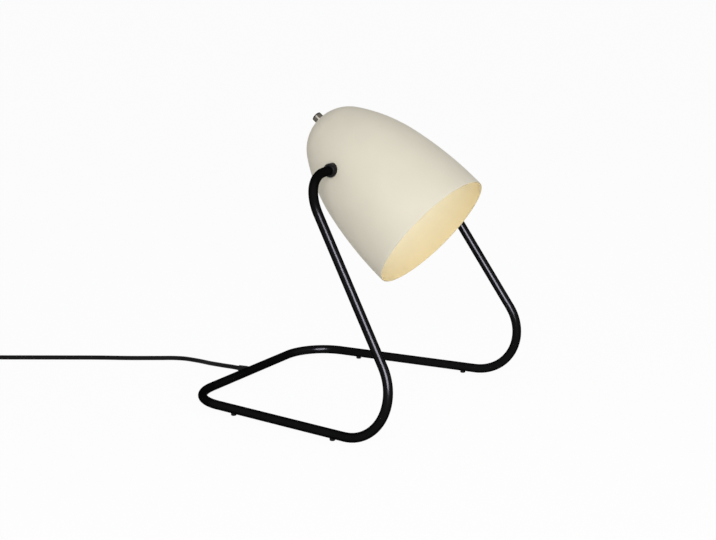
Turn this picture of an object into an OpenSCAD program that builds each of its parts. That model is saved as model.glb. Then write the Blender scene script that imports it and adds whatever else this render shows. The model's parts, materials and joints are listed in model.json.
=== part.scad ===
// Table lamp: a bell-shaped shade tilts between the two ends of one bent tube, which is also the stand.
// Millimetres, +Z up, light thrown towards -Y. The origin is on the floor under the middle of the lamp.

/* [Stand] */
// Outer diameter of the stand's tube
tube_d = 10; // [9:0.5:12]
// Wall of the stand's tube
tube_wall = 1; // [0.8:0.1:1.2]
// Height of the shade's pivot axis over the floor
pivot_height = 265; // [245:1:320]
// Half the width over the elbows, to the crossing of the tube's centrelines
elbow_half_width = 115; // [112:1:130]
// Half the width over the front corners, to the crossing of the centrelines
front_half_width = 152.5; // [135:0.5:175]
// Half the width over the rear corners, to the crossing of the centrelines
rear_half_width = 121; // [100:1:150]
// How far in front of the pivot axis the front corners lie
front_reach = 161; // [145:1:185]
// How far behind the pivot axis the rear bar lies
rear_reach = 152.5; // [130:0.5:180]
// Bending radius at the two elbows, to the centreline
elbow_bend_r = 47; // [35:1:50]
// Bending radius at the two front corners, to the centreline
front_bend_r = 52.5; // [40:0.5:60]
// Bending radius at the two rear corners, to the centreline
rear_bend_r = 50; // [35:1:60]

/* [Feet] */
// How far each foot stands out under its runner
foot_height = 2; // [1:0.1:4]
// Diameter of a foot's head
foot_d = 6; // [5:0.1:7]
// Diameter of the stem that plugs into the runner
foot_stem_d = 3.5; // [2.5:0.1:4]
// Distance of the front feet in front of the pivot axis
foot_front_reach = 51; // [40:1:70]
// Distance of the rear feet behind the pivot axis
foot_rear_reach = 84; // [70:1:100]

/* [Shade] */
// Length of the shade along its axis
shade_length = 176.5; // [160:0.5:200]
// Outer diameter of the shade's mouth
mouth_d = 146; // [138:0.5:155]
// Radius of the round nose
nose_r = 46.5; // [44:0.5:50]
// Part of the nose's arc, from the axis to where the shoulder begins
nose_angle = 58; // [54:0.5:62]
// Radius of the shoulder between the nose and the flank
shoulder_r = 190; // [150:5:230]
// Part of the shoulder's arc, from the axis to where the flank begins
shoulder_angle = 78.5; // [75:0.5:82]
// Sheet metal of the shade
shade_wall = 0.8; // [0.6:0.1:1.5]
// Distance of the pivot axis from the tip, along the shade's axis
pivot_from_tip = 66.5; // [60:0.5:75]
// Angle of the shade's axis from straight down
shade_tilt = 51.9; // [0:0.1:90]
// Diameter of the flat at the tip, where the switch is clamped
tip_flat_d = 15.6; // [15.4:0.1:19]

/* [Pivots] */
// Diameter of the rounded bush outside the shade
bush_d = 15; // [14:0.5:20]
// How far the outer bush stands out from the shade on the pivot axis
bush_out = 7; // [5:0.1:8]
// Rounding of the outer bush's rim
bush_round = 2.4; // [0.5:0.1:2.4]
// Wall of the bush's neck, which goes through the shade
neck_wall = 1; // [0.8:0.1:1.4]
// Diameter of the bush inside the shade
inner_bush_d = 15; // [14.5:0.5:18]
// How far the inner bush stands in from the shade on the pivot axis
inner_bush_in = 5; // [4.5:0.1:7]
// Height of the disc spring under the nut
disc_spring_h = 1; // [0.8:0.1:1.5]
// Width of the pivot nut across its flats
nut_flats = 14; // [13:0.5:17]
// Thickness of the pivot nut
nut_h = 4; // [3:0.5:5]
// How far the tube's end stands out of the nut
tube_end_out = 1.4; // [0.5:0.1:3]

/* [Switch] */
// Diameter of the push button
button_d = 11; // [9:0.1:11.4]
// How far the button stands out of its ring nut
button_out = 7.2; // [4:0.1:8]
// How far the button can be pressed
button_travel = 3; // [2:0.1:3]
// Wall of the threaded barrel that guides the button
barrel_wall = 1; // [0.8:0.1:1.3]
// Length of the barrel below its flange
barrel_tail = 8; // [7:0.1:10]
// Diameter of the ring nut and of the barrel's flange
ring_d = 15.2; // [14.6:0.1:15.4]
// Thickness of the ring nut
ring_h = 1.2; // [1:0.1:2]
// Thickness of the barrel's flange inside the tip
flange_h = 1.5; // [1:0.1:2]

/* [Lampholder] */
// Diameter of the lampholder's cap
cap_d = 27; // [26:0.5:30]
// Length of the cap
cap_h = 26; // [26:0.5:30]
// Wall of the cap and the shell
holder_wall = 2; // [1.6:0.1:2.2]
// Length of the lampholder's shell
shell_h = 38; // [36:0.5:42]
// Depth of the screwed joint between cap and shell
holder_lap = 8; // [6:0.5:10]
// Thickness of the ceramic insert that carries the contacts
insert_h = 10; // [8:0.5:11]
// Inner diameter of the screw shell
screw_d = 14.2; // [14:0.05:14.6]
// Length of the screw shell
screw_h = 17; // [14:0.5:18]

/* [Bulb] */
// Diameter of the bulb's screw cap
bulb_cap_d = 13.9; // [13.5:0.05:13.9]
// Diameter of the glass globe
globe_d = 45; // [40:0.5:50]
// Length of the bulb from its contact to the end of the globe
bulb_length = 78; // [74:0.5:84]
// Thickness of the glass
glass_wall = 0.9; // [0.7:0.1:1.5]

/* [Cord] */
// Diameter of the mains cord
cord_d = 5.2; // [4.6:0.1:5.4]
// Length of the strain relief behind the rear bar
relief_out = 12; // [8:0.5:20]
// Diameter of the strain relief at the bar
relief_d = 8.2; // [7.6:0.1:9]
// Diameter of the strain relief's neck in the bar
relief_neck_d = 7; // [6.6:0.1:7.4]
// Whole turns in the coil
coil_turns = 8; // [4:4:12]
// Diameter of the coil at the middle of its turns
coil_d = 54.6; // [52:0.2:64]
// Spacing of the turns, side by side and one on another
turn_pitch = 5.8; // [5.7:0.1:7]
// Thickness of the tie round the coil
tie_wall = 0.8; // [0.5:0.1:1.5]
// Width of the tie
tie_width = 5; // [3:0.5:8]

/* [Plug] */
// Width of the plug
plug_width = 35.3; // [34.6:0.1:36]
// Thickness of the plug
plug_height = 13.7; // [13:0.1:14.4]
// Length of the plug's body
plug_length = 30; // [26:0.5:36]
// Length of the plug's strain relief
plug_relief = 16; // [12:0.5:24]
// Diameter of a pin
pin_d = 4; // [3.9:0.05:4.1]
// Length of a pin outside the plug
pin_length = 19; // [18:0.5:20]
// Distance between the pins
pin_spacing = 18.6; // [17.5:0.1:19]

/* [Hidden] */
$fn = 64;
// Gap of a running fit, on the radius
run_gap = 0.05;
// Gap between pieces that are clamped or plugged together
seat_gap = 0.05;
// Gap that stands for a screwed joint, on the radius
thread_gap = 0.03;
// Gap between flat faces that turn on each other
face_gap = 0.1;
// Gap between a soft cord and what holds it
cord_gap = 0.3;
// The bends of a tube stand this much proud of its straights
bend_step = 0.05;
// The straights reach this far into the bends
bend_lap = 0.05;
// How far a cutter reaches past what it cuts
cut = 1;

tube_r = tube_d / 2;
bore_r = tube_r - tube_wall;
cord_r = cord_d / 2;

// The pivot axis lies this far from the origin, so that the origin is under the lamp's middle
pivot_y = -13;
front_y = pivot_y - front_reach;
rear_y = pivot_y + rear_reach;
runner_z = foot_height + tube_r;

// Outline of the shade: a flat tip, then a round nose, a shoulder and a flank that run on from one another.
// Heights are measured along the shade's axis from the pivot axis, positive towards the tip.
nose_steps = 14;
shoulder_steps = 12;
flank_steps = 18;
rim_steps = 6;
function polar(c, r, a) = c + r * [sin(a), cos(a)];
function arc(c, r, from, to, steps) = [for (i = [0:steps - 1]) polar(c, r, from + (to - from) * i / steps)];
nose_c = [0, pivot_from_tip - nose_r];
seat_z = nose_c.y + sqrt(pow(nose_r, 2) - pow(tip_flat_d / 2, 2));
shoulder_c = polar(nose_c, nose_r - shoulder_r, nose_angle);
flank_start = polar(shoulder_c, shoulder_r, shoulder_angle);
mouth_p = [mouth_d / 2, pivot_from_tip - shade_length];
flank_n = polar([0, 0], -1, shoulder_angle);
flank_chord = mouth_p - flank_start;
flank_r = (flank_chord * flank_chord) / (2 * flank_chord * flank_n);
flank_c = flank_start + flank_r * flank_n;
mouth_n = (mouth_p - flank_c) / flank_r;
mouth_angle = atan2(mouth_n.x, mouth_n.y);
// Curve of the shade's wall at a depth under its outer face, from the tip's flat to the mouth
function wall_curve(depth) =
  let(nose_start = acos((seat_z - depth - nose_c.y) / (nose_r - depth)))
  concat(
    arc(nose_c, nose_r - depth, nose_start, nose_angle, nose_steps),
    arc(shoulder_c, shoulder_r - depth, nose_angle, shoulder_angle, shoulder_steps),
    arc(flank_c, flank_r - depth, shoulder_angle, mouth_angle, flank_steps),
    [polar(flank_c, flank_r - depth, mouth_angle)]);
function reversed(list) = [for (i = [len(list) - 1:-1:0]) list[i]];

// Stack of pieces along the pivot axis, measured from the shade's axis.
// The pivot axis goes through the wall on the shoulder.
shade_x = shoulder_c.x + sqrt(pow(shoulder_r, 2) - pow(shoulder_c.y, 2));
bush_face_x = shade_x + bush_out;
inner_face_x = shade_x - shade_wall - inner_bush_in;
neck_r = tube_r + run_gap + neck_wall;
neck_short = 1.8;
neck_end_x = inner_face_x + neck_short;
spring_x = inner_face_x - face_gap - disc_spring_h;
nut_x = spring_x - nut_h;
tube_end_x = nut_x - tube_end_out;
guard_rim = 1;
lead_out = 2;
lead_end_x = tube_end_x - guard_rim - lead_out;

// Stack of pieces along the shade's axis, from the tip towards the mouth
barrel_r = button_d / 2 + run_gap + barrel_wall;
flange_z = seat_z - shade_wall - seat_gap;
cap_z = flange_z - flange_h - seat_gap;
cap_top = 2.5;
cap_end_z = cap_z - cap_h;
cap_r = cap_d / 2;
shell_r = cap_r + seat_gap + holder_wall;
shell_z = cap_end_z + holder_lap;
shell_end_z = shell_z - shell_h;
insert_z = cap_end_z - seat_gap;
insert_end_z = insert_z - insert_h;
ledge_z = insert_end_z - seat_gap;
screw_wall = 0.4;
screw_r = screw_d / 2;
screw_z = insert_end_z - seat_gap;
tongue_h = 3;
bulb_tip_z = screw_z - tongue_h - seat_gap;
button_in = 9;
button_end_z = seat_z - button_in;
stem_r = 2;
stem_h = 7;
bridge_h = 0.8;
bridge_r = 8;
bridge_z = button_end_z - stem_h;
spring_wire = 0.8;
spring_r = 2.8;
spring_turns = 6;
terminal_y = 8.5;
terminal_d = 3;
bulb_contact_h = 3.5;
bulb_cap_h = 16;
bulb_cap_z = bulb_tip_z - bulb_contact_h;
globe_r = globe_d / 2;
globe_z = bulb_tip_z - bulb_length + globe_r;
glass_neck_r = bulb_cap_d / 2 - 0.6;
lead_in_depth = 13;
lead_in_z = cap_z - lead_in_depth;
lead_x = -28;
lead_bend_r = 9;

// Centreline corners of the tube, from the end in the shade's left side to the right one
left_half = [
  [-tube_end_x, pivot_y, pivot_height],
  [-elbow_half_width, pivot_y, pivot_height],
  [-front_half_width, front_y, runner_z],
  [-rear_half_width, rear_y, runner_z]];
function mirrored(list) = [for (p = reversed(list)) [-p.x, p.y, p.z]];
tube_path = concat(left_half, mirrored(left_half));
tube_bends = [0, elbow_bend_r, front_bend_r, rear_bend_r, rear_bend_r, front_bend_r, elbow_bend_r, 0];
relief_end_y = rear_y + tube_r + relief_out;
lead_turn_r = 4;
// The lead in the tube meets the cord inside the strain relief, level with the back of the bar
lead_meet_y = rear_y + tube_r;
lead_path = [
  [0, lead_meet_y, runner_z],
  [0, rear_y, runner_z],
  [-rear_half_width, rear_y, runner_z],
  [-front_half_width, front_y, runner_z],
  [-elbow_half_width, pivot_y, pivot_height],
  [-lead_end_x, pivot_y, pivot_height]];
lead_bends = [0, lead_turn_r, rear_bend_r, front_bend_r, elbow_bend_r, 0];

// Route of the cord from the strain relief to the coil, from the point where it leaves the relief
cord_exit = [0, relief_end_y, runner_z];
cord_steps = [
  [0, 0, 0], [0, 10, 0], [0, 21, -0.3], [2, 33, -1.2], [5, 46, -2.4], [9, 60, -3.6],
  [11, 74, -4.3], [10, 88, -4.4], [5, 101, -4.4], [-3, 114, -4.4], [-11, 127, -4.4],
  [-19, 140, -4.4], [-27, 154, -4.4], [-35, 169, -4.4], [-44, 185, -4.4], [-53, 200, -4.4],
  [-62, 215, -4.4], [-71, 230, -4.4], [-80, 245, -4.4], [-89, 260, -4.4], [-98, 275, -4.4],
  [-107, 290, -4.2], [-116, 305, -3.6], [-125, 320, -3.1], [-134, 335, -3.1]];
cord_route = concat(
  [[0, lead_meet_y + seat_gap, runner_z]], [for (p = cord_steps) cord_exit + p]);

// The coil runs on from the route: one straight diameter, then turns to the left in four layers
coil_start = cord_route[len(cord_route) - 1];
coil_dir = atan2(15, -9);
coil_r = coil_d / 2;
coil_layers = 4;
layer_turns = coil_turns / coil_layers;
coil_outer_r = coil_r + turn_pitch * layer_turns / 2;
loop_rings = 24;
climb = 0.25;
// Radius and height at a count of turns: in and out again layer by layer, with a climb at each reversal
function coil_radius(t) =
  let(u = t % (2 * layer_turns)) coil_outer_r - turn_pitch * min(u, 2 * layer_turns - u);
function ramp(u) = let(s = min(max(u, 0), 1)) s * s * (3 - 2 * s);
function coil_lift(t, k = 1) = k >= coil_layers ? 0 :
  turn_pitch * ramp((t - k * layer_turns + climb) / (2 * climb)) + coil_lift(t, k + 1);
function coil_point(t) = let(r = coil_radius(t))
  [r * sin(360 * t), coil_outer_r - r * cos(360 * t), coil_lift(t)];
coil_local = concat(
  [[-cord_d, 0, 0]],
  [for (i = [0:coil_turns * loop_rings]) coil_point(i / loop_rings)],
  [coil_point(coil_turns) + [cord_d, 0, 0]]);
function turned(p, a) = [p.x * cos(a) - p.y * sin(a), p.x * sin(a) + p.y * cos(a), p.z];
function from_coil(p) = coil_start + turned(p + [cord_d, 0, 0], coil_dir);
coil_route = [for (p = coil_local) from_coil(p)];
// Least distance between points of the coil that are more than half a turn apart, less the cord
coil_gap = min([for (i = [1:len(coil_local) - 1], j = [i + loop_rings / 2:1:len(coil_local) - 2])
  norm(coil_local[i] - coil_local[j])]) - cord_d;

// Route of the cord's end, from the top of the coil down to the plug beside it
tail_top = coil_local[len(coil_local) - 1];
plug_z = plug_height / 2 - coil_start.z;
tail_steps = [
  [0, 0, 0], [9, 0.6, -0.4], [18, 3.4, -1.8], [26, 8.6, -4], [32.5, 16, -6.8],
  [36.8, 25, -9.6], [39, 35, -12], [39.4, 45, -13.5], [39.4, 52, -13.8], [39.4, 58, -13.8]];
tail_drop = tail_steps[len(tail_steps) - 1].z;
tail_local = [for (p = tail_steps)
  tail_top + [p.x, p.y, p.z * (tail_top.z - plug_z) / -tail_drop]];
tail_route = [for (p = tail_local) from_coil(p)];
plug_start = tail_route[len(tail_route) - 1];
// The plug's relief reaches a little way into its body
plug_lap = 2;
plug_end = plug_relief - plug_lap + plug_length;
pin_root = 6;

echo(coil_least_gap = coil_gap);

black = [0.06, 0.06, 0.07];
cream = [0.87, 0.84, 0.77];
nickel = [0.78, 0.76, 0.72];
brass = [0.8, 0.65, 0.32];
ceramic = [0.92, 0.91, 0.88];

// Helpers for bent rods

function unit(v) = v / norm(v);
function turn_at(p, i) = acos(unit(p[i] - p[i - 1]) * unit(p[i + 1] - p[i]));
function tangent_at(p, bends, i) =
  bends[i] == 0 ? 0 : bends[i] * tan(turn_at(p, i) / 2);

// Places children so that their Z runs along dir from a point
module aim(from, dir) {
  side = abs(dir.z) > 0.9 ? [1, 0, 0] : [0, 0, 1];
  u = unit(cross(side, dir));
  v = cross(dir, u);
  multmatrix([
    [u.x, v.x, dir.x, from.x],
    [u.y, v.y, dir.y, from.y],
    [u.z, v.z, dir.z, from.z]]) children();
}

module rod(from, to, r) {
  aim(from, unit(to - from)) cylinder(r = r, h = norm(to - from));
}

// Bend at a corner: starts where the rod from corner a leaves its line, ends on the line to corner c
module elbow(a, b, c, bend_r, r) {
  d = unit(b - a);
  e = unit(c - b);
  turn = acos(d * e);
  inward = unit(e - d * (d * e));
  start = b - d * bend_r * tan(turn / 2);
  centre = start + inward * bend_r;
  x = -inward;
  z = cross(x, d);
  multmatrix([
    [x.x, d.x, z.x, centre.x],
    [x.y, d.y, z.y, centre.y],
    [x.z, d.z, z.z, centre.z]])
    rotate_extrude(angle = turn) translate([bend_r, 0]) circle(r);
}

// A round rod along a list of corners, each with its bending radius
module bent_rod(p, bends, r) {
  last = len(p) - 1;
  for (i = [1:last]) {
    d = unit(p[i] - p[i - 1]);
    from_lap = i == 1 ? 0 : bend_lap;
    to_lap = i == last ? 0 : bend_lap;
    rod(
      p[i - 1] + d * (tangent_at(p, bends, i - 1) - from_lap),
      p[i] - d * (tangent_at(p, bends, i) - to_lap),
      r);
  }
  for (i = [1:last - 1]) elbow(p[i - 1], p[i], p[i + 1], bends[i], r + bend_step);
}

// Helpers for swept cords

function ring(p, dir, r, sides) =
  let(u = unit(cross([0, 0, 1], dir)), v = cross(dir, u))
  [for (k = [0:sides - 1])
    let(a = 360 * (k + 0.5) / sides) p + r * cos(a) * u + r * sin(a) * v];
function heading(p, i) =
  unit(p[min(i + 1, len(p) - 1)] - p[max(i - 1, 0)]);

// A round cord along a list of points, square at both ends
module cord(p, r, sides) {
  n = len(p);
  points = [for (i = [0:n - 1]) each ring(p[i], heading(p, i), r, sides)];
  skin = [for (i = [0:n - 2], k = [0:sides - 1])
    let(a = i * sides + k, b = i * sides + (k + 1) % sides)
    each [[a, b, b + sides], [a, b + sides, a + sides]]];
  near_end = [for (k = [1:sides - 2]) [0, k + 1, k]];
  last = (n - 1) * sides;
  far_end = [for (k = [1:sides - 2]) [last, last + k, last + k + 1]];
  polyhedron(points, [for (f = concat(skin, near_end, far_end)) [f[0], f[2], f[1]]]);
}

// Helpers for placing pieces

module on_shade() {
  translate([0, pivot_y, pivot_height]) rotate([-shade_tilt, 0, 0]) children();
}

// Children stand on the shade's axis and reach out along the pivot axis, to the left or to the right
module on_pivot(side) {
  rotate([0, 90 * side, 0]) children();
}

module at_pivot_end(side) {
  translate([0, pivot_y, pivot_height]) on_pivot(side) children();
}

module at_tail(p, dir) {
  translate(p) rotate([0, 0, dir]) children();
}

// A ring between two heights
module collar(r_out, r_in, from, to) {
  translate([0, 0, from]) difference() {
    cylinder(r = r_out, h = to - from);
    translate([0, 0, -cut]) cylinder(r = r_in, h = to - from + 2 * cut);
  }
}

// A hexagon nut between two heights, with its corners turned off
module hex_nut(flats, r_in, from, to) {
  corner_r = flats / 2 / cos(30);
  turned_off = corner_r - flats / 2;
  difference() {
    intersection() {
      translate([0, 0, from]) cylinder(r = corner_r, h = to - from, $fn = 6);
      rotate_extrude() polygon([
        [0, from], [flats / 2, from], [corner_r, from + turned_off / 2],
        [corner_r, to - turned_off / 2], [flats / 2, to], [0, to]]);
    }
    translate([0, 0, from - cut]) cylinder(r = r_in, h = to - from + 2 * cut);
  }
}

// Stand

function runner_at(side, reach) =
  let(t = (reach + front_reach) / (front_reach + rear_reach))
  [side * (front_half_width + (rear_half_width - front_half_width) * t), pivot_y + reach];

module foot_places() {
  for (side = [-1, 1], reach = [-foot_front_reach, foot_rear_reach])
    translate(runner_at(side, reach)) children();
}

module runner_line(side, r) {
  rod([side * front_half_width, front_y, runner_z], [side * rear_half_width, rear_y, runner_z], r);
}

module frame_tube() {
  bore_path = concat(
    [tube_path[0] + [cut, 0, 0]],
    [for (i = [1:len(tube_path) - 2]) tube_path[i]],
    [tube_path[len(tube_path) - 1] - [cut, 0, 0]]);
  color(black) difference() {
    bent_rod(tube_path, tube_bends, tube_r);
    bent_rod(bore_path, tube_bends, bore_r);
    foot_places() cylinder(d = foot_stem_d + 2 * seat_gap, h = runner_z);
    translate([0, rear_y, runner_z]) rotate([-90, 0, 0])
      cylinder(d = relief_neck_d + 2 * seat_gap, h = tube_d);
  }
}

module foot(side, reach) {
  edge = 0.5;
  head_top = foot_height + tube_r / 3;
  stem_top = foot_height + tube_wall + 1;
  color([0.1, 0.1, 0.1]) {
    difference() {
      translate(runner_at(side, reach)) rotate_extrude() polygon([
        [0, 0], [foot_d / 2 - edge, 0], [foot_d / 2, edge], [foot_d / 2, head_top], [0, head_top]]);
      runner_line(side, tube_r + seat_gap);
    }
    translate(runner_at(side, reach)) translate([0, 0, edge])
      cylinder(d = foot_stem_d, h = stem_top - edge);
  }
}

module foot_front_left() { foot(-1, -foot_front_reach); }
module foot_front_right() { foot(1, -foot_front_reach); }
module foot_rear_left() { foot(-1, foot_rear_reach); }
module foot_rear_right() { foot(1, foot_rear_reach); }

// The relief's base follows the bar, its neck is plugged into the bar and the cord runs through it
module strain_relief() {
  lip = 2;
  edge = 0.6;
  tip_d = cord_d + 2;
  neck_from = bore_r + seat_gap;
  color([0.08, 0.08, 0.08]) difference() {
    union() {
      difference() {
        translate([0, rear_y, runner_z]) rotate([-90, 0, 0]) rotate_extrude() polygon([
          [0, 0], [relief_d / 2, 0], [relief_d / 2, tube_r + lip],
          [tip_d / 2, tube_r + relief_out - edge], [tip_d / 2 - edge, tube_r + relief_out],
          [0, tube_r + relief_out]]);
        rod([-relief_d, rear_y, runner_z], [relief_d, rear_y, runner_z], tube_r + seat_gap);
      }
      translate([0, rear_y + neck_from, runner_z]) rotate([-90, 0, 0])
        cylinder(d = relief_neck_d, h = tube_wall + lip);
    }
    translate([0, rear_y, runner_z]) rotate([-90, 0, 0])
      cylinder(r = cord_r + seat_gap, h = tube_r + relief_out + cut);
  }
}

module lead_in_tube() {
  color([0.12, 0.12, 0.12]) bent_rod(lead_path, lead_bends, cord_r);
}

// Keeps the tube's cut edge off the lead
module tube_end_guard() {
  sleeve = 8;
  color([0.85, 0.85, 0.82]) at_pivot_end(-1) difference() {
    union() {
      translate([0, 0, tube_end_x - guard_rim]) cylinder(r = tube_r - 0.2, h = guard_rim - seat_gap);
      translate([0, 0, tube_end_x - guard_rim]) cylinder(r = bore_r - seat_gap, h = sleeve);
    }
    translate([0, 0, tube_end_x - guard_rim - cut]) cylinder(r = cord_r + seat_gap, h = sleeve + 2 * cut);
  }
}

// A shallow cone that presses the inner bush against the shade
module disc_spring(side) {
  metal = 0.5;
  r_out = inner_bush_d / 2 - 0.5;
  r_in = tube_r + seat_gap;
  from = spring_x + seat_gap;
  to = spring_x + disc_spring_h;
  color(nickel) at_pivot_end(side) rotate_extrude() polygon([
    [r_in, from], [r_in, from + metal], [r_out, to], [r_out, to - metal]]);
}

module disc_spring_left() { disc_spring(-1); }
module disc_spring_right() { disc_spring(1); }

module pivot_nut(side) {
  color(nickel) at_pivot_end(side) hex_nut(nut_flats, tube_r + thread_gap, nut_x, nut_x + nut_h);
}

module pivot_nut_left() { pivot_nut(-1); }
module pivot_nut_right() { pivot_nut(1); }

// Cord

module mains_cord() {
  color(black) cord(cord_route, cord_r, 8);
}

module cord_coil() {
  color(black) cord(coil_route, cord_r, 6);
}

module cord_tail() {
  color(black) cord(tail_route, cord_r, 8);
}

// A flat band round the turns on the far side of the coil
module cord_tie() {
  inner_r = coil_outer_r - turn_pitch * layer_turns - cord_r - cord_gap;
  outer_r = coil_outer_r + cord_r + cord_gap;
  low = -cord_r - cord_gap;
  high = turn_pitch * (coil_layers - 1) + cord_r + cord_gap;
  centre = from_coil([0, coil_outer_r, 0]);
  color([0.2, 0.2, 0.2]) translate(centre) rotate([0, 0, coil_dir + 90]) difference() {
    translate([inner_r - tie_wall, -tie_width / 2, low - tie_wall])
      cube([outer_r - inner_r + 2 * tie_wall, tie_width, high - low + 2 * tie_wall]);
    translate([inner_r, -tie_width / 2 - cut, low])
      cube([outer_r - inner_r, tie_width + 2 * cut, high - low]);
  }
}

// Flat two-pin plug: full width at the pins, drawn in towards the cord
module plug_body() {
  face_w = plug_width / 2;
  face_h = plug_height / 2;
  side_h = 2.2;
  full = plug_length - 12;
  back_w = 8;
  relief_r = cord_r + 1.6;
  body_x = plug_end - plug_length;
  color(black) at_tail(plug_start, coil_dir + 90) difference() {
    union() {
      intersection() {
        translate([body_x, 0, 0]) rotate([90, 0, 90]) linear_extrude(plug_length) polygon([
          [-face_w, -side_h], [-back_w, -face_h], [back_w, -face_h], [face_w, -side_h],
          [face_w, side_h], [back_w, face_h], [-back_w, face_h], [-face_w, side_h]]);
        translate([0, 0, -plug_height]) linear_extrude(2 * plug_height) polygon([
          [body_x, -back_w], [plug_end - full, -face_w], [plug_end, -face_w],
          [plug_end, face_w], [plug_end - full, face_w], [body_x, back_w]]);
      }
      rotate([0, 90, 0]) cylinder(r1 = cord_r + 0.8, r2 = relief_r, h = plug_relief);
    }
    for (side = [-1, 1]) translate([plug_end - pin_root, side * pin_spacing / 2, 0])
      rotate([0, 90, 0]) cylinder(d = pin_d + 2 * seat_gap, h = pin_root + cut);
  }
}

module plug_pins() {
  nib = 1;
  color(nickel) at_tail(plug_start, coil_dir + 90) for (side = [-1, 1])
    translate([plug_end - pin_root + seat_gap, side * pin_spacing / 2, 0]) rotate([0, 90, 0]) {
      cylinder(d = pin_d, h = pin_root + pin_length - nib);
      translate([0, 0, pin_root + pin_length - nib]) cylinder(d1 = pin_d, d2 = pin_d - nib, h = nib);
    }
}

// Shade

// Solid that fills the shade's outline to a depth under its outer face
module shade_fill(depth) {
  curve = wall_curve(depth);
  rotate_extrude() polygon(concat(
    [[0, curve[len(curve) - 1].y], [0, seat_z - depth]], curve));
}

module shade() {
  outer = wall_curve(0);
  inner = wall_curve(shade_wall);
  rim_c = (outer[len(outer) - 1] + inner[len(inner) - 1]) / 2;
  rim = [for (i = [1:rim_steps - 1])
    polar(rim_c, shade_wall / 2, mouth_angle + 180 * i / rim_steps)];
  hole_r = barrel_r + seat_gap;
  color(cream) on_shade() difference() {
    rotate_extrude($fn = 128) polygon(concat(
      [[hole_r, seat_z - shade_wall], [hole_r, seat_z]], outer, rim, reversed(inner)));
    for (side = [-1, 1]) on_pivot(side)
      translate([0, 0, inner_face_x]) cylinder(r = neck_r + seat_gap, h = bush_face_x - inner_face_x);
  }
}

// The bush's underside follows the shade, and its neck lines the hole for the tube
module pivot_bush(side) {
  r = bush_d / 2;
  round_steps = 8;
  rim = [for (i = [0:round_steps])
    polar([r - bush_round, bush_face_x - bush_round], bush_round, 90 - 90 * i / round_steps)];
  color(black) on_shade() difference() {
    union() {
      difference() {
        on_pivot(side) rotate_extrude() polygon(concat([[0, inner_face_x], [r, inner_face_x]], rim,
          [[0, bush_face_x]]));
        shade_fill(-seat_gap);
      }
      on_pivot(side) translate([0, 0, neck_end_x]) cylinder(r = neck_r, h = bush_face_x - cut - neck_end_x);
    }
    on_pivot(side) translate([0, 0, inner_face_x])
      cylinder(r = tube_r + run_gap, h = bush_face_x - inner_face_x + cut);
  }
}

module pivot_bush_left() { pivot_bush(-1); }
module pivot_bush_right() { pivot_bush(1); }

module inner_bush(side) {
  color([0.2, 0.2, 0.2]) on_shade() difference() {
    intersection() {
      on_pivot(side) translate([0, 0, inner_face_x])
        cylinder(d = inner_bush_d, h = bush_face_x - inner_face_x);
      shade_fill(shade_wall + seat_gap);
    }
    on_pivot(side) translate([0, 0, inner_face_x - cut])
      cylinder(r = tube_r + run_gap, h = bush_face_x);
    on_pivot(side) translate([0, 0, neck_end_x - seat_gap])
      cylinder(r = neck_r + seat_gap, h = bush_face_x);
  }
}

module inner_bush_left() { inner_bush(-1); }
module inner_bush_right() { inner_bush(1); }

// From the pivot axis up to the side of the lampholder's cap
module lead_in_shade() {
  path = [
    [-lead_end_x + face_gap, 0, 0], [lead_x, 0, 0], [lead_x, 0, lead_in_z],
    [-cap_r + holder_wall - 0.5, 0, lead_in_z]];
  color([0.12, 0.12, 0.12]) on_shade() bent_rod(path, [0, lead_bend_r, lead_bend_r, 0], cord_r);
}

// Switch

// Stands a little proud of its ring nut
module switch_barrel() {
  proud = 0.3;
  color(nickel) on_shade() difference() {
    union() {
      translate([0, 0, flange_z - flange_h - barrel_tail])
        cylinder(r = barrel_r, h = seat_z + ring_h + proud - flange_z + flange_h + barrel_tail);
      translate([0, 0, flange_z - flange_h]) cylinder(d = ring_d, h = flange_h);
    }
    translate([0, 0, flange_z - flange_h - barrel_tail - cut])
      cylinder(r = button_d / 2 + run_gap, h = flange_h + barrel_tail + ring_h + 4 * cut);
  }
}

module switch_ring_nut() {
  color(nickel) on_shade() collar(ring_d / 2, barrel_r + thread_gap, seat_z + seat_gap, seat_z + ring_h);
}

// Clamps the lampholder's cap under the barrel's flange
module barrel_nut() {
  nut_top = cap_z - cap_top - seat_gap;
  thickness = 2.5;
  flats = ring_d + 2;
  color(nickel) on_shade() hex_nut(flats, barrel_r + thread_gap, nut_top - thickness, nut_top);
}

module switch_spring() {
  rings = 8;
  low = insert_z + seat_gap + spring_wire / 2;
  high = bridge_z - bridge_h - seat_gap - spring_wire / 2;
  n = spring_turns * rings;
  path = [for (i = [0:n])
    [spring_r * cos(360 * i / rings), spring_r * sin(360 * i / rings), low + (high - low) * i / n]];
  color(nickel) on_shade() cord(path, spring_wire / 2, 6);
}

// Two posts that the bridge joins when the button is down
module switch_contacts() {
  strip = 1;
  width = 4;
  foot = 5;
  height = bridge_z - bridge_h - button_travel - cord_gap - insert_z - seat_gap;
  color(brass) on_shade() for (side = [0, 1])
    mirror([side, 0, 0]) translate([bridge_r - 3, width / 2, insert_z + seat_gap])
      rotate([90, 0, 0]) linear_extrude(width) polygon([
        [0, 0], [foot, 0], [foot, strip], [strip, strip], [strip, height], [0, height]]);
}

// Lampholder

module holder_cap() {
  round_r = 4;
  round_steps = 8;
  shoulder = [for (i = [0:round_steps])
    polar([cap_r - round_r, cap_z - round_r], round_r, 90 * i / round_steps)];
  color(black) on_shade() difference() {
    rotate_extrude() polygon(concat(
      [[barrel_r + seat_gap, cap_z - cap_top], [barrel_r + seat_gap, cap_z]], shoulder,
      [[cap_r, cap_end_z], [cap_r - holder_wall, cap_end_z], [cap_r - holder_wall, cap_z - cap_top]]));
    translate([-cap_r - cut, 0, lead_in_z]) rotate([0, 90, 0])
      cylinder(r = cord_r + seat_gap, h = cap_r / 2);
  }
}

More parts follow.
